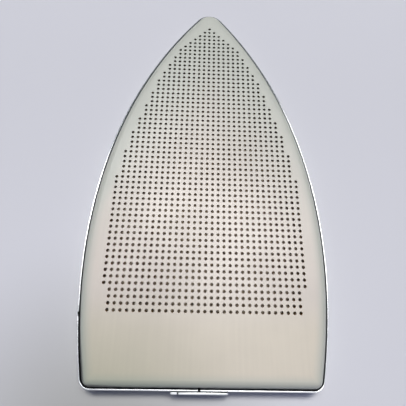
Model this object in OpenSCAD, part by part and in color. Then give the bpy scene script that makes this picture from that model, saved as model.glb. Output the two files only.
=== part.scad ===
// Iron shoe cover: a perforated PTFE sole that clips over the sole plate of a steam iron.
// The sole is a formed tray, and its skirt is gripped in a metal band that is folded round
// the skirt's free edge. Millimetres. The band's free edge lies on Z = 0, the ironing face
// looks up (+Z), and the nose points along +Y.

/* [Outline] */
// Length over the band, from the heel to the tip of the nose
shoe_len = 233; // [220:1:245]
// Width over the band at its widest line
shoe_w = 130; // [122:1:138]
// Distance of the widest line from the heel
widest_from_heel = 64; // [56:1:74]
// Radius of the nose tip, outside the band
nose_r = 10; // [9:0.5:14]
// Radius of the two heel corners, outside the band
heel_r = 6; // [5.6:0.1:9]
// Height from the free edge of the band to the ironing face
shoe_h = 13; // [12:0.5:18]

/* [Sole] */
// Thickness of the PTFE sheet
sole_t = 1.5; // [1:0.1:2]
// Outer radius of the bend from the face into the skirt
bend_r = 4; // [3:0.1:4.4]
// Gap between the skirt and the wall of the band
skirt_gap = 0.5; // [0.2:0.1:0.8]

/* [Steam holes] */
// Diameter of a hole
hole_d = 1.7; // [1:0.1:2]
// Distance between neighbouring holes, in both directions
hole_pitch = 3.2; // [3:0.1:3.3]
// Distance of the first hole from the tip of the nose
nose_margin = 15.6; // [14:0.2:20]
// Number of rows, from the nose to the last one before the plain heel
hole_rows = 58; // [30:1:60]
// Columns on each side of the middle one
hole_cols = 16; // [10:1:16]
// Rows at the heel end that have one column fewer on each side
short_rows = 4; // [0:1:8]
// Radius of the arcs that bound the field on its sides
field_r = 333; // [300:1:360]
// Half of the width that these arcs reach at their widest row
field_half_w = 56.4; // [54:0.1:57]
// Row at which the arcs are widest, counted from the nose
field_widest_row = 53; // [48:1:56]

/* [Band] */
// Thickness of the metal strip
band_t = 0.8; // [0.6:0.1:1.1]
// Height of the wall of the band
band_h = 10.2; // [8.5:0.1:11]
// Height of the return that is folded up behind the skirt
return_h = 3.2; // [2:0.1:4]
// Gap between the skirt and the folded return
return_gap = 0.1; // [0.05:0.05:0.3]
// Width of the butt seam at the heel
seam_w = 0.8; // [0.4:0.1:1.5]
// Distance of the seam from the middle, to the left
seam_off = 1.9; // [0:0.1:6]

/* [Heel strap] */
// Length of the strap that bridges the seam
strap_len = 27.5; // [24:0.5:34]
// Height of the strap
strap_h = 8.6; // [7:0.1:9.5]
// Thickness of the strap
strap_t = 1; // [0.6:0.1:1.2]
// Drop of the strap's upper edge below the edge of the band
strap_drop = 0.2; // [0:0.1:0.6]
// Radius of the strap's corners
strap_r = 1.2; // [0.6:0.1:2.5]
// Distance of each rivet from the seam
rivet_off = 9.2; // [7:0.1:10]
// Diameter of a rivet's shank
rivet_d = 2.4; // [1.8:0.1:3]
// Diameter of a rivet's domed head
rivet_head_d = 4.4; // [3.6:0.1:5]
// Height of a rivet's domed head
rivet_head_h = 1; // [0.6:0.1:1.4]
// Diameter of the flat tail inside the skirt
rivet_tail_d = 4; // [3.4:0.1:4.6]
// Thickness of the flat tail
rivet_tail_t = 0.6; // [0.4:0.1:1]

/* [Hidden] */
$fn = 64;
side_fn = 720;  // facets of a full turn of the long side arcs
lap_a = 1;      // angle by which pieces of one solid overlap inside it
over = 1;       // how far a cut reaches past what it cuts

// Outline: a nose arc, one long arc on each side, two heel corners and the straight heel,
// all tangent. The box round band, strap and rivet heads is centred on the origin.
half_w = shoe_w / 2;
heel_y = (strap_t + rivet_head_h - shoe_len) / 2;
tip_y = heel_y + shoe_len;
nose_c = [0, tip_y - nose_r];
// A side arc touches the widest line from inside, and the nose arc touches it from inside.
widest_y = heel_y + widest_from_heel;
side_r = (half_w^2 + (nose_c.y - widest_y)^2 - nose_r^2) / (2 * (half_w - nose_r));
side_c = [half_w - side_r, widest_y];
nose_a = atan2(nose_c.y - side_c.y, nose_c.x - side_c.x);
// A heel corner touches the side arc and the heel line.
heel_cy = heel_y + heel_r;
heel_c = [side_c.x + sqrt((side_r - heel_r)^2 - (heel_cy - side_c.y)^2), heel_cy];
heel_a = atan2(heel_c.y - side_c.y, heel_c.x - side_c.x);
// A rim's profile reaches inwards past the middle of the largest arc.
rim_reach = ceil(side_r + shoe_w);

// Depths of the section's layers, measured inwards from the band's outer face
skirt_out = band_t + skirt_gap;
skirt_in = skirt_out + sole_t;
return_out = skirt_in + return_gap;
return_in = return_out + band_t;

// Heel strap and its rivets
strap_mid_z = band_h - strap_drop - strap_h / 2;
rivet_xs = [-seam_off - rivet_off, -seam_off + rivet_off];
rivet_grip = strap_t + skirt_in;

// The field of holes. Row r is counted from the nose, and row_cols(r) gives its columns on
// each side of the middle one: a right-angled point first, then what fits in the side arcs.
function row_y(r) = tip_y - nose_margin - r * hole_pitch;
function arc_half_w(r) =
    field_half_w - field_r + sqrt(field_r^2 - ((r - field_widest_row) * hole_pitch)^2);
function row_cols(r) =
    min(r, floor(arc_half_w(r) / hole_pitch), r < hole_rows - short_rows ? hole_cols : hole_cols - 1);

// Solid with the shoe's outline. children() is the profile of its rim: X runs outwards from
// the band's outer face, Y up, and it reaches inwards past the middle of every arc. The
// sides and the heel end where a corner begins, and each corner is a disc that lies inside
// both of its neighbours up to there.
module shoe_solid() {
    disc(nose_c, nose_r) children();
    for (side = [0, 1]) mirror([side, 0, 0]) {
        intersection() {
            disc(side_c, side_r, side_fn) children();
            wedge(nose_c, -90 - lap_a, nose_a);
            wedge(heel_c, heel_a, 180);
        }
        disc(heel_c, heel_r) children();
    }
    intersection() {
        translate([-shoe_w, heel_y, 0]) rotate([90, 0, 90])
            linear_extrude(2 * shoe_w) mirror([1, 0]) children();
        wedge(heel_c, -180 - lap_a, -90);
        mirror([1, 0, 0]) wedge(heel_c, -180 - lap_a, -90);
    }
}

// Everything between the angles a0 and a1 about c
module wedge(c, a0, a1) {
    place(c) translate([0, 0, -3 * over]) linear_extrude(shoe_h + 6 * over)
        polygon([[0, 0], for (i = [0:4]) let (a = a0 + i * (a1 - a0) / 4)
            2 * shoe_len * [cos(a), sin(a)]]);
}

// Disc about c with the rim in children(), its seam turned away from the shoe's edge
module disc(c, r, n = 2 * $fn) {
    place(c) rotate(180) rotate_extrude($fn = n) intersection() {
        place([r, 0]) children();
        translate([0, -2 * over]) square([r + over, shoe_h + 4 * over]);
    }
}

// Moves children() by v, in a coarse and a fine step, so that arcs join without a gap
module place(v) {
    coarse = [for (x = v) round(100 * x) / 100];
    translate(coarse) translate(v - coarse) children();
}

// Rim profile with its side the given depth inside the band's outer face, from z0 to z1,
// and its upper edge rounded to r
module rim(depth, z0, z1, r = 0) {
    translate([-rim_reach, z0]) square([rim_reach - depth - r, z1 - z0]);
    if (r > 0) {
        translate([-depth - 2 * r, z0]) square([2 * r, z1 - z0 - r]);
        translate([-depth - r, z1 - r]) intersection() {
            circle(r, $fn = 2 * $fn);
            square(r);
        }
    }
}

// Rim profile of the band's outside: a straight wall, its lower edge rounded by the fold
module folded_rim() {
    translate([-rim_reach, band_t]) square([rim_reach, band_h - band_t]);
    translate([-rim_reach, 0]) square([rim_reach - band_t, 2 * band_t]);
    translate([-band_t, band_t]) rotate(270) intersection() {
        circle(band_t);
        square(band_t);
    }
}

module steam_holes() {
    for (r = [0:hole_rows - 1], c = [-row_cols(r):row_cols(r)])
        translate([c * hole_pitch, row_y(r)]) circle(d = hole_d, $fn = 16);
}

// One formed sheet: face, bend and skirt, which stands on the band's flange
module sole_plate() {
    color("#d9cfc3") difference() {
        shoe_solid() rim(skirt_out, band_t, shoe_h, bend_r);
        shoe_solid() rim(skirt_in, 0, shoe_h - sole_t, bend_r - sole_t);
        translate([0, 0, shoe_h - sole_t - over]) linear_extrude(sole_t + 2 * over) steam_holes();
        rivet_holes();
    }
}

// One strip: wall outside the skirt, flange under it and return behind it, butted at the heel
module rim_band() {
    color("#c9ccd1") difference() {
        shoe_solid() folded_rim();
        shoe_solid() rim(return_in, -over, band_h + over);
        difference() {
            shoe_solid() rim(band_t, band_t, band_h + over);
            shoe_solid() rim(return_out, 0, return_h);
        }
        translate([-seam_off - seam_w / 2, heel_y - over, -over])
            cube([seam_w, return_in + 2 * over, band_h + 2 * over]);
        rivet_holes();
    }
}

module heel_strap() {
    color("#b9bcc2") difference() {
        translate([-seam_off, heel_y, strap_mid_z]) rotate([90, 0, 0])
            linear_extrude(strap_t) rounded_plate(strap_len, strap_h, strap_r);
        rivet_holes();
    }
}

// Rectangle about the origin with round corners
module rounded_plate(w, h, r) {
    square([w - 2 * r, h], center = true);
    square([w, h - 2 * r], center = true);
    for (x = [-1, 1], y = [-1, 1]) translate([x * (w / 2 - r), y * (h / 2 - r)]) circle(r);
}

// Places children() at each rivet, on the strap's outer face, with +Z into the shoe
module at_rivets() {
    for (x = rivet_xs) translate([x, heel_y - strap_t, strap_mid_z]) rotate([-90, 0, 0]) children();
}

module rivet_holes() {
    at_rivets() translate([0, 0, -over]) cylinder(d = rivet_d, h = rivet_grip + 2 * over);
}

// Domed head outside the strap, shank through strap, band and skirt, flat tail inside
module heel_rivets() {
    dome_r = (rivet_head_d^2 / 4 + rivet_head_h^2) / (2 * rivet_head_h);
    color("#a9adb3") at_rivets() {
        cylinder(d = rivet_d, h = rivet_grip);
        translate([0, 0, rivet_grip]) cylinder(d = rivet_tail_d, h = rivet_tail_t);
        rotate_extrude() intersection() {
            translate([0, dome_r - rivet_head_h]) circle(dome_r, $fn = 4 * $fn);
            translate([0, -rivet_head_h]) square([rivet_head_d, rivet_head_h]);
        }
    }
}

sole_plate();
rim_band();
heel_strap();
heel_rivets();
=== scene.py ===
"""Iron shoe cover: a perforated PTFE sole whose skirt is gripped in a bright aluminium band,
with a short steel strap over the band's seam at the heel. It lies on pale paper with its
ironing face up."""
import math

import bmesh
import bpy
from mathutils import Matrix, Vector


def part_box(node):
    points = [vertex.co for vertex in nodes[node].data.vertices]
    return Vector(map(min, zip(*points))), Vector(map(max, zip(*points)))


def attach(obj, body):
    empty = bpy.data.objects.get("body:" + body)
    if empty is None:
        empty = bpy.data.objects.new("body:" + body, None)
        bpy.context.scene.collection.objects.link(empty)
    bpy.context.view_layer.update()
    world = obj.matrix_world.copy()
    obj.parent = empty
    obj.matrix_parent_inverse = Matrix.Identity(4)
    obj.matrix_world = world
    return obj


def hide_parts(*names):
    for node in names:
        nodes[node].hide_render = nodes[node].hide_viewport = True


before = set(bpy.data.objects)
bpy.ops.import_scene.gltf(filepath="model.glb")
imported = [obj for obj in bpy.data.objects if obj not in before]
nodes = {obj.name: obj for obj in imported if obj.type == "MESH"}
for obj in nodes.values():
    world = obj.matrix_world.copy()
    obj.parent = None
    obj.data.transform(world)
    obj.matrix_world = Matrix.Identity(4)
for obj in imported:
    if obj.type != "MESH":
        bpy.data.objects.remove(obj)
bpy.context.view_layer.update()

MM = 0.001
PHOTO_SIZE = 406            # the photograph's width and height in pixels
FOCAL_PX = 264.0            # its focal length in pixels

SHEET_T = 1.5 * MM          # thickness of the sole's sheet

# The band's outline, as in the solids: a nose arc, one long arc on each side, two heel
# corners and a straight heel, all tangent
NOSE_R = 10 * MM            # radius of the nose tip, outside the band
HEEL_R = 6 * MM             # radius of the heel corners, outside the band
WIDEST_FROM_HEEL = 64 * MM  # distance of the widest line from the heel

# The band's section and its joint
STRIP_T = 0.8 * MM          # thickness of the strip
GRIP = 3.7 * MM             # depth of the folded band, from its wall to its return
RETURN_H = 3.2 * MM         # height of the return behind the skirt
EDGE_R = 0.3 * MM           # rounding of the strip's worn edges
SEAM_X = -1.9 * MM          # middle of the butt seam at the heel
SEAM_W = 0.8 * MM           # width of the seam
SEAM_DARK_W = 0.22 * MM         # how far the seam's painted shade and grime reach onto the strip on each side

# The strap over the seam
STRAP_GAP = 0.35 * MM       # how far it stands off the band between its rivets
STRAP_R = 1.2 * MM          # radius of the strap's corners
STRAP_EDGE_R = 0.22 * MM    # rounding of its edges
NICK_X = -11.9 * MM         # middle of the nick in its upper edge
NICK_W = 0.9 * MM
NICK_DEPTH = 0.5 * MM

# Where the wall of the band stands off the sole, at the left heel corner
STAND_OFF_Y = -81.7 * MM    # its start on the left side
STAND_OFF = 0.2 * MM        # how far the wall's upper edge leans out
NUB = 0.5 * MM              # how far the burr at its start stands out besides
NUB_W = 0.6 * MM            # length of the wall over which the burr rises

SMOOTH_ANGLE = math.radians(40)  # faces that meet at less than this look smooth

# Colours as they look in plain light
PTFE_NOSE = "#C6CABF"
PTFE_MIDDLE = "#D6CFC4"
PTFE_HEEL = "#D7D0BF"
# Painted shade on the sheet's rounded bend along the band
PTFE_BEND_SHADE = "#B6BAB0"
# Painted shade in the crevice between the sheet and the band
PTFE_CREVICE_SHADE = "#3C3F3E"
# Painted shade on the walls of the holes, at the nose and at the heel
HOLE_SHADE_NOSE = "#6C6A4E"
HOLE_SHADE_HEEL = "#836036"
STRIP_BRIGHT = "#D2D4D8"
STRIP_DULL = "#B4B7BC"
STRAP_BRIGHT = "#C8CACE"
STRAP_DULL = "#A9ACB1"
RIVET_BRIGHT = "#DCDDE0"
RIVET_DULL = "#BFC1C6"
EDGE_BRIGHT = "#DCDEE1"
# Painted shade on the band's ground edge towards the nose
EDGE_NOSE_SHADE = "#5E6569"
# Painted shade and grime in the seam
SEAM_SHADE_AND_GRIME = "#1E1F21"
# The paper's tone at the nose and at the heel: painted shade, darker towards the nose
PAPER_NOSE = "#D0D2D7"
PAPER_HEEL = "#D6D8DD"
PAPER_UNDER = "#EBE0CC"

# The left heel corner lies in a slow shade on the sole, the band's ground edge and the
# paper. Each is multiplied by its own tone.
SHADE_PLACE = (-50 * MM, -150 * MM, 0)
SHEET_SHADE = "#BCC6B5"
EDGE_SHADE = "#ACAFB2"
PAPER_SHADE = "#C9C9C0"
SHOE_SHADE_REACH = 90 * MM
PAPER_SHADE_REACH = 120 * MM

sole_high = Vector(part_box("sole_plate")[1])
band_low, band_high = (Vector(c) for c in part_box("rim_band"))
strap_low, strap_high = (Vector(c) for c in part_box("heel_strap"))

# The long arc of the right side touches the widest line from inside, and the nose arc and
# the heel corner touch it from inside.
nose_c = Vector((0, band_high.y - NOSE_R))
widest_y = band_low.y + WIDEST_FROM_HEEL
side_r = ((band_high.x ** 2 + (nose_c.y - widest_y) ** 2 - NOSE_R ** 2)
          / (2 * (band_high.x - NOSE_R)))
side_c = Vector((band_high.x - side_r, widest_y))
nose_a = math.atan2(nose_c.y - side_c.y, nose_c.x - side_c.x)


# Camera
def place_camera(location, look, up):
    """Camera at a point in the row frame, looking along look with up towards the top."""
    back = -Vector(look).normalized()
    right = Vector(up).cross(back).normalized()
    turn = Matrix((right, back.cross(right), back)).transposed().to_4x4()
    data = bpy.data.cameras.new("photo_camera")
    data.sensor_width = 36.0
    data.lens = data.sensor_width * FOCAL_PX / PHOTO_SIZE
    data.clip_start = 0.01
    camera = bpy.data.objects.new("photo_camera", data)
    camera.matrix_world = Matrix.Translation(location) @ turn
    bpy.context.collection.objects.link(camera)
    bpy.context.scene.camera = camera


# Its place, turn and focal length were found from the grid of holes in the photograph.
place_camera(Vector((-5.47, -67.37, 153.26)) * MM,
             look=(0.0235, 0.2923, -0.9560), up=(-0.0282, 0.9561, 0.2916))


# Modelling
def start_plane(name, location, size, rotation):
    """Adds a square and opens it in edit mode."""
    bpy.ops.object.select_all(action="DESELECT")
    bpy.ops.mesh.primitive_plane_add(size=size, location=location, rotation=rotation)
    piece = bpy.context.object
    piece.name = name
    bpy.ops.object.transform_apply(location=True, rotation=True, scale=True)
    bpy.ops.object.mode_set(mode="EDIT")
    return piece


def pick(kind, test):
    """Selects the elements, VERT or EDGE, whose middle passes the test, and no others."""
    bpy.ops.mesh.select_mode(type=kind)
    bpy.ops.mesh.select_all(action="DESELECT")
    mesh = bmesh.from_edit_mesh(bpy.context.edit_object.data)
    if kind == "VERT":
        middles = [(vert, vert.co) for vert in mesh.verts]
    else:
        middles = [(edge, (edge.verts[0].co + edge.verts[1].co) / 2) for edge in mesh.edges]
    for element, middle in middles:
        if test(middle):
            element.select_set(True)
    bmesh.update_edit_mesh(bpy.context.edit_object.data)


def near(a, b):
    """True within a micrometre."""
    return abs(a - b) < 0.001 * MM


def extrude(x=0.0, y=0.0, z=0.0):
    """Extrudes the selection by a distance along each axis."""
    bpy.ops.mesh.extrude_region_move(TRANSFORM_OT_translate={"value": (x, y, z)})


def round_corner(y, z, radius, steps):
    """Rounds the corners of a flat section at y, z."""
    pick("VERT", lambda p: near(p.y, y) and near(p.z, z))
    bpy.ops.mesh.bevel(offset=radius, segments=steps, affect="VERTICES")


def finish_piece(piece, replaced):
    """Closes edit mode, smooths the shading and ties the piece to the frame."""
    bpy.ops.mesh.select_mode(type="VERT")
    bpy.ops.mesh.select_all(action="SELECT")
    bpy.ops.mesh.remove_doubles(threshold=0.001 * MM)
    bpy.ops.mesh.normals_make_consistent(inside=False)
    bpy.ops.object.mode_set(mode="OBJECT")
    bpy.ops.object.shade_smooth_by_angle(angle=SMOOTH_ANGLE)
    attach(piece, "root")
    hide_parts(replaced)


def outline_turns():
    """The arcs of the outline from the right heel corner round to the left one, each with
    its centre, its angle and its number of steps. The left side is divided where the wall
    begins to stand off."""
    heel_cy = band_low.y + HEEL_R
    heel_cx = side_c.x + math.sqrt((side_r - HEEL_R) ** 2 - (heel_cy - side_c.y) ** 2)
    heel_a = math.atan2(heel_cy - side_c.y, heel_cx - side_c.x)
    stand_off_a = math.asin((STAND_OFF_Y - side_c.y) / side_r)
    nub_a = NUB_W / side_r
    return [((heel_cx, heel_cy), math.pi / 2 + heel_a, 14),
            (side_c, nose_a - heel_a, 72),
            (nose_c, math.pi - 2 * nose_a, 28),
            ((-side_c.x, side_c.y), nose_a - stand_off_a, 64),
            ((-side_c.x, side_c.y), nub_a, 1),
            ((-side_c.x, side_c.y), stand_off_a - heel_a - nub_a, 12),
            ((-heel_cx, heel_cy), math.pi / 2 + heel_a, 14)]


def rim_band():
    """One strip bent round the sole's skirt: wall, flange under the skirt and return behind
    it. Its section is drawn at the right end of the seam and carried round the outline."""
    heel_y = band_low.y
    top = band_high.z
    seam_right = SEAM_X + SEAM_W / 2
    piece = start_plane("rim_band_strip", (seam_right, heel_y + STRIP_T / 2, STRIP_T / 2),
                        STRIP_T, (0, math.pi / 2, 0))
    pick("EDGE", lambda p: near(p.z, STRIP_T))
    extrude(z=top - STRIP_T)
    pick("EDGE", lambda p: near(p.y, heel_y + STRIP_T) and near(p.z, STRIP_T / 2))
    extrude(y=GRIP - 2 * STRIP_T)
    extrude(y=STRIP_T)
    pick("EDGE", lambda p: near(p.y, heel_y + GRIP - STRIP_T / 2) and near(p.z, STRIP_T))
    extrude(z=RETURN_H - STRIP_T)
    bpy.ops.mesh.select_all(action="SELECT")
    bpy.ops.mesh.dissolve_limited(angle_limit=math.radians(1))
    round_corner(heel_y, 0, STRIP_T, 8)
    round_corner(heel_y + GRIP, 0, STRIP_T, 6)
    for depth in (0, STRIP_T):
        round_corner(heel_y + depth, top, EDGE_R, 5)
    for depth in (GRIP - STRIP_T, GRIP):
        round_corner(heel_y + depth, RETURN_H, 0.5 * EDGE_R, 2)

    # The straight heel ends at its corners' centres, at this distance from the middle line.
    turns = outline_turns()
    straight_end = turns[0][0][0]
    bpy.ops.mesh.select_mode(type="FACE")
    bpy.ops.mesh.select_all(action="SELECT")
    extrude(x=straight_end - seam_right)
    for centre, angle, steps in turns:
        bpy.ops.mesh.spin(steps=steps, angle=-angle, center=(*centre, 0), axis=(0, 0, 1))
    extrude(x=straight_end + SEAM_X - SEAM_W / 2)

    # The wall's upper edge leans out at the left heel corner, with a burr where that starts.
    def leans(p):
        return p.z > top / 2 and p.x < band_low.x / 2 and p.y < STAND_OFF_Y - NUB_W / 2
    pick("VERT", leans)
    bpy.ops.transform.translate(value=(-STAND_OFF, 0, 0))
    pick("VERT", lambda p: leans(p) and p.y > STAND_OFF_Y - 1.5 * NUB_W)
    bpy.ops.transform.translate(value=(-NUB, 0, 0))
    finish_piece(piece, "rim_band")
    return piece


def heel_strap():
    """Short plate with round corners over the seam, its edges worn smooth and its upper edge
    nicked near the left end."""
    middle = (strap_low + strap_high) / 2 - Vector((0, STRAP_GAP, 0))
    size = strap_high - strap_low
    back_y = middle.y + size.y / 2
    front_y = middle.y - size.y / 2
    piece = start_plane("heel_strap_plate", (middle.x, back_y, middle.z), 1.0,
                        (math.pi / 2, 0, 0))
    bpy.ops.mesh.select_all(action="SELECT")
    bpy.ops.transform.resize(value=(size.x, 1, size.z), center_override=middle)
    bpy.ops.mesh.select_mode(type="VERT")
    bpy.ops.mesh.bevel(offset=STRAP_R, segments=6, affect="VERTICES")
    bpy.ops.mesh.select_mode(type="FACE")
    bpy.ops.mesh.select_all(action="SELECT")
    extrude(y=-size.y)
    bpy.ops.mesh.select_all(action="SELECT")
    bpy.ops.mesh.normals_make_consistent(inside=False)
    pick("EDGE", lambda p: near(p.y, back_y) or near(p.y, front_y))
    bpy.ops.mesh.bevel(offset=STRAP_EDGE_R, segments=3, affect="EDGES")
    for x in (NICK_X - NICK_W / 2, NICK_X, NICK_X + NICK_W / 2):
        bpy.ops.mesh.select_all(action="SELECT")
        bpy.ops.mesh.bisect(plane_co=(x, 0, 0), plane_no=(1, 0, 0))
    pick("VERT", lambda p: near(p.x, NICK_X) and p.z > middle.z)
    bpy.ops.transform.translate(value=(0, 0, -NICK_DEPTH))
    finish_piece(piece, "heel_strap")
    return piece


# Materials
def colour(hex_code):
    """Linear RGBA from an sRGB hex value."""
    parts = [int(hex_code[i:i + 2], 16) / 255 for i in (1, 3, 5)]
    return [p / 12.92 if p <= 0.04045 else ((p + 0.055) / 1.055) ** 2.4 for p in parts] + [1.0]


def node(tree, kind, inputs, **settings):
    """Adds a node. inputs gives each input, by name or number, a value or the output that
    feeds it."""
    new = tree.nodes.new(kind)
    for key, value in settings.items():
        setattr(new, key, value)
    for key, value in inputs.items():
        if isinstance(value, bpy.types.NodeSocket):
            tree.links.new(value, new.inputs[key])
        else:
            new.inputs[key].default_value = value
    return new


def material(name):
    """A new material, its node tree, its Principled shader and the place in the row frame
    that its patterns read."""
    mat = bpy.data.materials.new(name)
    mat.use_nodes = True
    tree = mat.node_tree
    place = node(tree, "ShaderNodeTexCoord", {}).outputs["Object"]
    return mat, tree, tree.nodes["Principled BSDF"], place


def corner_shade(tree, place, under, tone, reach):
    """The colour under, multiplied by a tone round a place behind the left heel corner. The
    tone fades out at reach from there, and sooner on the side away from the shoe."""
    away = node(tree, "ShaderNodeVectorMath", {0: place, 1: SHADE_PLACE}, operation="DISTANCE")
    deep = node(tree, "ShaderNodeMapRange",
                {"Value": away.outputs["Value"], "From Min": 0.0, "From Max": reach,
                 "To Min": 1.0, "To Max": 0.0}, interpolation_type="SMOOTHSTEP")
    axis = node(tree, "ShaderNodeSeparateXYZ", {0: place})
    behind = node(tree, "ShaderNodeMapRange",
                  {"Value": axis.outputs["Y"], "From Min": -200 * MM, "From Max": -140 * MM},
                  interpolation_type="SMOOTHSTEP")
    deep = node(tree, "ShaderNodeMath", {0: deep.outputs[0], 1: behind.outputs[0]},
                operation="MULTIPLY")
    return node(tree, "ShaderNodeMix", {0: deep.outputs[0], 6: under, 7: colour(tone)},
                data_type="RGBA", blend_type="MULTIPLY").outputs[2]


def outline_depth(tree, place):
    """How far a place lies inside the band's outline, seen from above: from its side arcs,
    or ahead of them from its nose arc, or from its heel line if that is less."""
    axis = node(tree, "ShaderNodeSeparateXYZ", {0: place})
    across = node(tree, "ShaderNodeMath", {0: axis.outputs["X"]}, operation="ABSOLUTE")
    arm = node(tree, "ShaderNodeCombineXYZ", {0: across.outputs[0], 1: axis.outputs["Y"]})
    side_arm = node(tree, "ShaderNodeVectorMath", {0: arm.outputs[0], 1: (*side_c, 0)},
                    operation="DISTANCE")
    from_side = node(tree, "ShaderNodeMath", {0: side_r, 1: side_arm.outputs["Value"]},
                     operation="SUBTRACT")
    nose_arm = node(tree, "ShaderNodeVectorMath", {0: arm.outputs[0], 1: (*nose_c, 0)},
                    operation="SUBTRACT")
    nose_gap = node(tree, "ShaderNodeVectorMath", {0: nose_arm.outputs[0]}, operation="LENGTH")
    from_nose = node(tree, "ShaderNodeMath", {0: NOSE_R, 1: nose_gap.outputs["Value"]},
                     operation="SUBTRACT")
    ahead = node(tree, "ShaderNodeVectorMath",
                 {0: nose_arm.outputs[0], 1: (-math.sin(nose_a), math.cos(nose_a), 0)},
                 operation="DOT_PRODUCT")
    by_nose = node(tree, "ShaderNodeMath", {0: ahead.outputs["Value"], 1: 0.0},
                   operation="GREATER_THAN")
    from_arcs = node(tree, "ShaderNodeMix", {0: by_nose.outputs[0], 2: from_side.outputs[0],
                                             3: from_nose.outputs[0]})
    from_heel = node(tree, "ShaderNodeMath", {0: axis.outputs["Y"], 1: band_low.y},
                     operation="SUBTRACT")
    return node(tree, "ShaderNodeMath", {0: from_arcs.outputs[0], 1: from_heel.outputs[0]},
                operation="MINIMUM").outputs[0]


def noseward_tint(tree, place, at_nose, at_heel):
    """One colour at the nose that turns into another by the middle of the sole. Near the
    sides the nose's colour reaches further back."""
    axis = node(tree, "ShaderNodeSeparateXYZ", {0: place})
    across = node(tree, "ShaderNodeMath", {0: axis.outputs["X"]}, operation="ABSOLUTE")
    noseward = node(tree, "ShaderNodeMath", {0: across.outputs[0], 1: 0.9, 2: axis.outputs["Y"]},
                    operation="MULTIPLY_ADD")
    along = node(tree, "ShaderNodeMapRange",
                 {"Value": noseward.outputs[0], "From Min": 0.85 * band_high.y,
                  "From Max": -0.1 * band_high.y}, interpolation_type="SMOOTHSTEP")
    return node(tree, "ShaderNodeMix",
                {0: along.outputs[0], 6: colour(at_nose), 7: colour(at_heel)},
                data_type="RGBA").outputs[2]


def sheet_tone(tree, place, clouds):
    """Cream tone of the bare sheet, yellower on the plain strip at the heel, cloudy and
    rubbed along the sole by cloth."""
    tint = noseward_tint(tree, place, PTFE_NOSE, PTFE_MIDDLE)
    axis = node(tree, "ShaderNodeSeparateXYZ", {0: place})
    plain_strip = node(tree, "ShaderNodeMapRange",
                       {"Value": axis.outputs["Y"], "From Min": -70 * MM, "From Max": -92 * MM},
                       interpolation_type="SMOOTHSTEP")
    tint = node(tree, "ShaderNodeMix", {0: plain_strip.outputs[0], 6: tint, 7: colour(PTFE_HEEL)},
                data_type="RGBA")
    lengthwise = node(tree, "ShaderNodeMapping",
                      {"Vector": place, "Scale": (1 / (1.4 * MM), 1 / (55 * MM), 1 / (1.4 * MM))})
    rubs = node(tree, "ShaderNodeTexNoise",
                {"Vector": lengthwise.outputs[0], "Scale": 1.0, "Detail": 2.0})
    cloudy = node(tree, "ShaderNodeMapRange", {"Value": clouds.outputs[0], "From Min": 0.3,
                                               "From Max": 0.7, "To Min": 0.9, "To Max": 1.0})
    rubbed = node(tree, "ShaderNodeMapRange", {"Value": rubs.outputs[0], "From Min": 0.3,
                                               "From Max": 0.7, "To Min": 0.97, "To Max": 1.0})
    shade = node(tree, "ShaderNodeMath", {0: cloudy.outputs[0], 1: rubbed.outputs[0]},
                 operation="MULTIPLY")
    return node(tree, "ShaderNodeMix", {0: 1.0, 6: tint.outputs[2], 7: shade.outputs[0]},
                data_type="RGBA", blend_type="MULTIPLY").outputs[2]


def rim_tone(tree, place, sheet):
    """The sheet's tone with painted shade: grey on the bend, reaching further in on the left
    flank, shaded at the left heel corner and dark in the crevice along the band."""
    left_flank = (-58 * MM, 18 * MM, sole_high.z)
    left_corner = (-61 * MM, -112 * MM, sole_high.z)
    depth = outline_depth(tree, place)
    # Painted shade: the grey of the bend reaches further in on the left flank.
    from_flank = node(tree, "ShaderNodeVectorMath", {0: place, 1: left_flank},
                      operation="DISTANCE")
    spread = node(tree, "ShaderNodeMapRange",
                  {"Value": from_flank.outputs["Value"], "From Min": 20 * MM, "From Max": 60 * MM,
                   "To Min": 0.5, "To Max": 1.0}, interpolation_type="SMOOTHSTEP")
    spread = node(tree, "ShaderNodeMath", {0: depth, 1: spread.outputs[0]}, operation="MULTIPLY")
    # Painted shade on the sheet's bend along the band.
    rim = node(tree, "ShaderNodeMapRange",
               {"Value": spread.outputs[0], "From Min": 2.5 * MM, "From Max": 9 * MM,
                "To Min": 1.0, "To Max": 0.0}, interpolation_type="SMOOTHSTEP")
    greyed = node(tree, "ShaderNodeMix", {0: rim.outputs[0], 6: sheet, 7: colour(PTFE_BEND_SHADE)},
                  data_type="RGBA")
    shaded = corner_shade(tree, place, greyed.outputs[2], SHEET_SHADE, SHOE_SHADE_REACH)

    # The painted shade in the crevice is wider at the left heel corner, and stronger at the heel
    # than elsewhere.
    from_corner = node(tree, "ShaderNodeVectorMath", {0: place, 1: left_corner},
                       operation="DISTANCE")
    wider = node(tree, "ShaderNodeMapRange",
                 {"Value": from_corner.outputs["Value"], "From Min": 6 * MM, "From Max": 28 * MM,
                  "To Min": 0.9 * MM, "To Max": 0.0}, interpolation_type="SMOOTHSTEP")
    depth = node(tree, "ShaderNodeMath", {0: depth, 1: wider.outputs[0]}, operation="SUBTRACT")
    crevice = node(tree, "ShaderNodeMapRange",
                   {"Value": depth.outputs[0], "From Min": 1.5 * MM, "From Max": 2.7 * MM,
                    "To Min": 1.0, "To Max": 0.0}, interpolation_type="SMOOTHSTEP")
    axis = node(tree, "ShaderNodeSeparateXYZ", {0: place})
    stronger = node(tree, "ShaderNodeMapRange",
                    {"Value": axis.outputs["Y"], "From Min": -60 * MM, "From Max": -105 * MM,
                     "To Min": 0.45})
    crevice = node(tree, "ShaderNodeMath", {0: crevice.outputs[0], 1: stronger.outputs[0]},
                   operation="MULTIPLY")
    return node(tree, "ShaderNodeMix", {0: crevice.outputs[0], 6: shaded, 7: colour(PTFE_CREVICE_SHADE)},
                data_type="RGBA").outputs[2]


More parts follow.
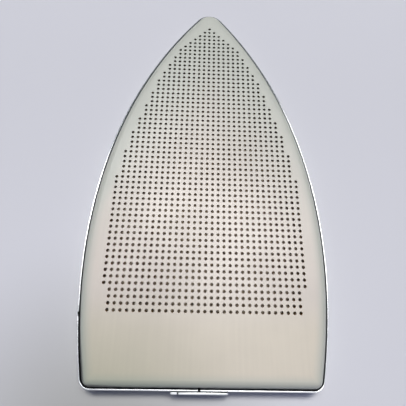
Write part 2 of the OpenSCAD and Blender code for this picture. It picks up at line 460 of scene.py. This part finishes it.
def hole_walls(tree, place):
    """One on the walls of the holes, which are the upright faces between the sheet's two
    sides, and zero elsewhere."""
    normal = node(tree, "ShaderNodeSeparateXYZ",
                  {0: node(tree, "ShaderNodeNewGeometry", {}).outputs["True Normal"]})
    tilt = node(tree, "ShaderNodeMath", {0: normal.outputs["Z"]}, operation="ABSOLUTE")
    upright = node(tree, "ShaderNodeMath", {0: tilt.outputs[0], 1: 0.3}, operation="LESS_THAN")
    axis = node(tree, "ShaderNodeSeparateXYZ", {0: place})
    high = node(tree, "ShaderNodeMath",
                {0: axis.outputs["Z"], 1: sole_high.z - SHEET_T - 0.1 * MM},
                operation="GREATER_THAN")
    return node(tree, "ShaderNodeMath", {0: upright.outputs[0], 1: high.outputs[0]},
                operation="MULTIPLY").outputs[0]


def ptfe_sheet():
    """Skived and pressed PTFE sheet: creamy white and waxy, cloudy at a slow scale, with a satin
    gloss that varies with the clouds. The walls of its holes carry painted shade, olive at the
    nose and brown at the heel. Its grain is drawn coarser than the real one's, so that it shows."""
    mat, tree, shader, place = material("pressed_ptfe_sheet")
    clouds = node(tree, "ShaderNodeTexNoise",
                  {"Vector": place, "Scale": 1 / (38 * MM), "Detail": 4.0, "Roughness": 0.55})
    face = rim_tone(tree, place, sheet_tone(tree, place, clouds))
    # Painted shade on the walls of the holes, olive at the nose, brown at the heel
    painted_hole_shade = noseward_tint(tree, place, HOLE_SHADE_NOSE, HOLE_SHADE_HEEL)
    holed = node(tree, "ShaderNodeMix", {0: hole_walls(tree, place), 6: face, 7: painted_hole_shade},
                 data_type="RGBA")
    tree.links.new(holed.outputs[2], shader.inputs["Base Color"])
    satin = node(tree, "ShaderNodeMapRange", {"Value": clouds.outputs[0], "From Min": 0.3,
                                              "From Max": 0.7, "To Min": 0.44, "To Max": 0.34})
    tree.links.new(satin.outputs[0], shader.inputs["Roughness"])
    shader.inputs["IOR"].default_value = 1.52
    grain = node(tree, "ShaderNodeTexNoise",
                 {"Vector": place, "Scale": 1 / (1.8 * MM), "Detail": 3.0})
    bump = node(tree, "ShaderNodeBump",
                {"Height": grain.outputs[0], "Strength": 0.25, "Distance": 0.03 * MM})
    tree.links.new(bump.outputs[0], shader.inputs["Normal"])
    return mat


def ground_edge(tree, place, metal, edge_z, shade):
    """The metal's tone, ground bright from edge_z up. That edge carries painted shade towards the
    nose, starting further back on the left, and takes the shade at the left heel corner."""
    # Painted shade on the ground edge towards the nose, which starts further back on the left
    towards = node(tree, "ShaderNodeVectorMath", {0: place, 1: (-0.36, 1, 0)},
                   operation="DOT_PRODUCT")
    nose = node(tree, "ShaderNodeMapRange",
                {"Value": towards.outputs["Value"], "From Min": 8 * MM, "From Max": 38 * MM,
                 "To Max": 0.85}, interpolation_type="SMOOTHSTEP")
    ground = node(tree, "ShaderNodeMix",
                  {0: nose.outputs[0], 6: colour(EDGE_BRIGHT), 7: colour(EDGE_NOSE_SHADE)},
                  data_type="RGBA")
    ground = corner_shade(tree, place, ground.outputs[2], shade, SHOE_SHADE_REACH)
    axis = node(tree, "ShaderNodeSeparateXYZ", {0: place})
    edge = node(tree, "ShaderNodeMapRange", {"Value": axis.outputs["Z"], "From Min": edge_z,
                                             "From Max": edge_z + 0.4 * MM})
    return node(tree, "ShaderNodeMix", {0: edge.outputs[0], 6: metal, 7: ground},
                data_type="RGBA").outputs[2]


def bright_metal(name, tone, dull_tone, roughness, rolling, edge_z=None, edge_shade="#FFFFFF"):
    """Sheet metal with a clear reflection, broken by a thin dull film in patches and by
    rolling marks that run level. They lie rolling metres apart, coarser than real ones, so
    that they show. From edge_z up the metal is ground bright, and that edge is multiplied by
    edge_shade at the left heel corner."""
    mat, tree, shader, place = material(name)
    level = node(tree, "ShaderNodeMapping",
                 {"Vector": place, "Scale": (1 / (30 * MM), 1 / (30 * MM), 1 / rolling)})
    marks = node(tree, "ShaderNodeTexNoise",
                 {"Vector": level.outputs[0], "Scale": 1.0, "Detail": 3.0})
    film = node(tree, "ShaderNodeTexNoise",
                {"Vector": place, "Scale": 1 / (14 * MM), "Detail": 5.0})
    patch = node(tree, "ShaderNodeMapRange",
                 {"Value": film.outputs[0], "From Min": 0.45, "From Max": 0.7})
    metal = node(tree, "ShaderNodeMix",
                 {0: patch.outputs[0], 6: colour(tone), 7: colour(dull_tone)},
                 data_type="RGBA").outputs[2]
    if edge_z is not None:
        metal = ground_edge(tree, place, metal, edge_z, edge_shade)
    tree.links.new(metal, shader.inputs["Base Color"])
    rough = node(tree, "ShaderNodeMapRange",
                 {"Value": marks.outputs[0], "From Min": 0.3, "From Max": 0.7,
                  "To Min": roughness - 0.06, "To Max": roughness + 0.1})
    tree.links.new(rough.outputs[0], shader.inputs["Roughness"])
    bump = node(tree, "ShaderNodeBump",
                {"Height": marks.outputs[0], "Strength": 0.3, "Distance": 0.02 * MM})
    tree.links.new(bump.outputs[0], shader.inputs["Normal"])
    shader.inputs["Metallic"].default_value = 1.0
    return mat


def darken(mat, mask):
    """Puts the seam's painted shade and grime over a metal where the mask output is one."""
    tree = mat.node_tree
    into = tree.nodes["Principled BSDF"].inputs["Base Color"]
    dark = node(tree, "ShaderNodeMix",
                {0: mask, 6: into.links[0].from_socket, 7: colour(SEAM_SHADE_AND_GRIME)}, data_type="RGBA")
    tree.links.new(dark.outputs[2], into)


def band_metal():
    """Rolled aluminium strip, bright, with painted shade and grime in its butt seam at the heel.
    """
    mat = bright_metal("rolled_aluminium_strip", STRIP_BRIGHT, STRIP_DULL, 0.24, 0.5 * MM,
                       band_high.z - 0.9 * MM, EDGE_SHADE)
    tree = mat.node_tree
    place = node(tree, "ShaderNodeTexCoord", {}).outputs["Object"]
    axis = node(tree, "ShaderNodeSeparateXYZ", {0: place})
    # Painted shade and grime on the strip's ends in the seam and just beside them
    by_seam = node(tree, "ShaderNodeMath",
                   {0: axis.outputs["X"], 1: SEAM_X, 2: 0.5 * SEAM_W + SEAM_DARK_W},
                   operation="COMPARE")
    at_heel = node(tree, "ShaderNodeMath", {0: axis.outputs["Y"], 1: 0.0},
                   operation="LESS_THAN")
    both = node(tree, "ShaderNodeMath", {0: by_seam.outputs[0], 1: at_heel.outputs[0]},
                operation="MULTIPLY")
    darken(mat, both.outputs[0])
    return mat


def strap_metal():
    """Cold-rolled steel strap, bright, with painted shade where it faces the band and in its nick.
    """
    mat = bright_metal("cold_rolled_steel_strap", STRAP_BRIGHT, STRAP_DULL, 0.26, 0.4 * MM,
                       strap_high.z - 0.7 * MM)
    tree = mat.node_tree
    # Painted shade on the face towards the band and in the nick's upper edge
    normal = node(tree, "ShaderNodeSeparateXYZ",
                  {0: node(tree, "ShaderNodeNewGeometry", {}).outputs["True Normal"]})
    inside = node(tree, "ShaderNodeMath", {0: normal.outputs["Y"], 1: 0.7},
                  operation="GREATER_THAN")
    place = node(tree, "ShaderNodeTexCoord", {}).outputs["Object"]
    axis = node(tree, "ShaderNodeSeparateXYZ", {0: place})
    nick = node(tree, "ShaderNodeMath", {0: axis.outputs["X"], 1: NICK_X, 2: 0.4 * NICK_W},
                operation="COMPARE")
    edge = node(tree, "ShaderNodeMapRange",
                {"Value": axis.outputs["Z"], "From Min": strap_high.z - 0.9 * MM,
                 "From Max": strap_high.z - 0.6 * MM, "To Max": 0.7})
    nick = node(tree, "ShaderNodeMath", {0: nick.outputs[0], 1: edge.outputs[0]},
                operation="MULTIPLY")
    either = node(tree, "ShaderNodeMath", {0: inside.outputs[0], 1: nick.outputs[0]},
                  operation="MAXIMUM")
    darken(mat, either.outputs[0])
    return mat


def rivet_metal():
    """Drawn aluminium wire, headed by a press: softer in its gloss than the strip."""
    return bright_metal("drawn_aluminium_rivet", RIVET_BRIGHT, RIVET_DULL, 0.3, 0.6 * MM)


def paper():
    """Matt paper, with painted shade that makes it a little darker towards the nose, and the slow
    shade behind the left heel corner. Under the shoe it is warm, which shows through the holes."""
    mat, tree, shader, place = material("matt_paper")
    axis = node(tree, "ShaderNodeSeparateXYZ", {0: place})
    along = node(tree, "ShaderNodeMapRange",
                 {"Value": axis.outputs["Y"], "From Min": 100 * MM, "From Max": -100 * MM},
                 interpolation_type="SMOOTHSTEP")
    tint = node(tree, "ShaderNodeMix",
                {0: along.outputs[0], 6: colour(PAPER_NOSE), 7: colour(PAPER_HEEL)},
                data_type="RGBA")
    under = node(tree, "ShaderNodeMapRange",
                 {"Value": outline_depth(tree, place), "From Min": GRIP, "From Max": 2 * GRIP})
    tint = node(tree, "ShaderNodeMix",
                {0: under.outputs[0], 6: tint.outputs[2], 7: colour(PAPER_UNDER)},
                data_type="RGBA")
    shaded = corner_shade(tree, place, tint.outputs[2], PAPER_SHADE, PAPER_SHADE_REACH)
    tree.links.new(shaded, shader.inputs["Base Color"])
    shader.inputs["Roughness"].default_value = 0.95
    return mat


def dress(piece, mat):
    """Gives a piece or a node of the frame its only material."""
    if piece.material_slots:
        for slot in piece.material_slots:
            slot.material = mat
    else:
        piece.data.materials.append(mat)


dress(nodes["sole_plate"], ptfe_sheet())
dress(rim_band(), band_metal())
dress(heel_strap(), strap_metal())
dress(nodes["heel_rivets"], rivet_metal())


# Stage and light
def floor():
    """Large sheet of pale paper that the shoe lies on."""
    bpy.ops.object.select_all(action="DESELECT")
    bpy.ops.mesh.primitive_plane_add(size=4.0, location=(0, 0, band_low.z))
    plane = bpy.context.object
    plane.name = "paper_floor"
    bpy.ops.object.transform_apply(location=True)
    dress(plane, paper())


def lamp(name, place, size, power, tone):
    """Round softbox at a place, turned towards the middle of the shoe."""
    data = bpy.data.lights.new(name, "AREA")
    data.shape = "DISK"
    data.size = size
    data.energy = power
    data.color = colour(tone)[:3]
    light = bpy.data.objects.new(name, data)
    light.location = place
    light.rotation_euler = (-Vector(place)).to_track_quat("-Z", "Y").to_euler()
    bpy.context.collection.objects.link(light)
    return light


def room(tone, strength, wall_tone, wall_strength, dark_strength, camera_strength):
    """Even room light, and what gloss sees of the room: pale walls with a darker end low
    beyond the nose. The camera sees the walls at a strength of their own."""
    world = bpy.data.worlds.new("soft_room")
    world.use_nodes = True
    tree = world.node_tree
    light = tree.nodes["Background"]
    light.inputs["Color"].default_value = colour(tone)
    light.inputs["Strength"].default_value = strength
    way = node(tree, "ShaderNodeSeparateXYZ",
               {0: node(tree, "ShaderNodeTexCoord", {}).outputs["Generated"]})
    low_end = node(tree, "ShaderNodeMath", {0: way.outputs["Y"], 1: way.outputs["Z"]},
                   operation="SUBTRACT")
    glossed = node(tree, "ShaderNodeMapRange",
                   {"Value": low_end.outputs[0], "From Min": -0.2, "From Max": 0.5,
                    "To Min": wall_strength, "To Max": dark_strength},
                   interpolation_type="SMOOTHSTEP")
    ray = node(tree, "ShaderNodeLightPath", {}).outputs
    seen = node(tree, "ShaderNodeMix",
                {0: ray["Is Camera Ray"], 2: glossed.outputs[0], 3: camera_strength})
    walls = node(tree, "ShaderNodeBackground",
                 {"Color": colour(wall_tone), "Strength": seen.outputs[0]})
    shown = node(tree, "ShaderNodeMath", {0: ray["Is Camera Ray"], 1: ray["Is Glossy Ray"]},
                 operation="MAXIMUM")
    both = node(tree, "ShaderNodeMixShader",
                {0: shown.outputs[0], 1: light.outputs[0], 2: walls.outputs[0]})
    tree.links.new(both.outputs[0], tree.nodes["World Output"].inputs["Surface"])
    bpy.context.scene.world = world


floor()
# The windows light the shoe and cast its shadow, and the sheens add only gloss.
lamp("far_window", (0.2, 2.7, 4.9), 1.0, 176, "#FFFAF2").visible_glossy = False
lamp("left_window", (-0.57, 1.6, 3.05), 1.1, 31, "#FDFDFF").visible_glossy = False
lamp("right_window", (0.9, 1.6, 3.05), 1.1, 29, "#FDFDFF").visible_glossy = False
lamp("left_sheen", (-0.22, 0.39, 1.2), 0.5, 7.2, "#FFFCF9").visible_diffuse = False
lamp("right_sheen", (0.18, 0.09, 1.0), 0.42, 4.1, "#FFFCF9").visible_diffuse = False
room("#8499FF", 0.115, "#F1F3F7", wall_strength=1.0, dark_strength=0.2, camera_strength=0.8)

bpy.context.scene.view_settings.view_transform = "Standard"
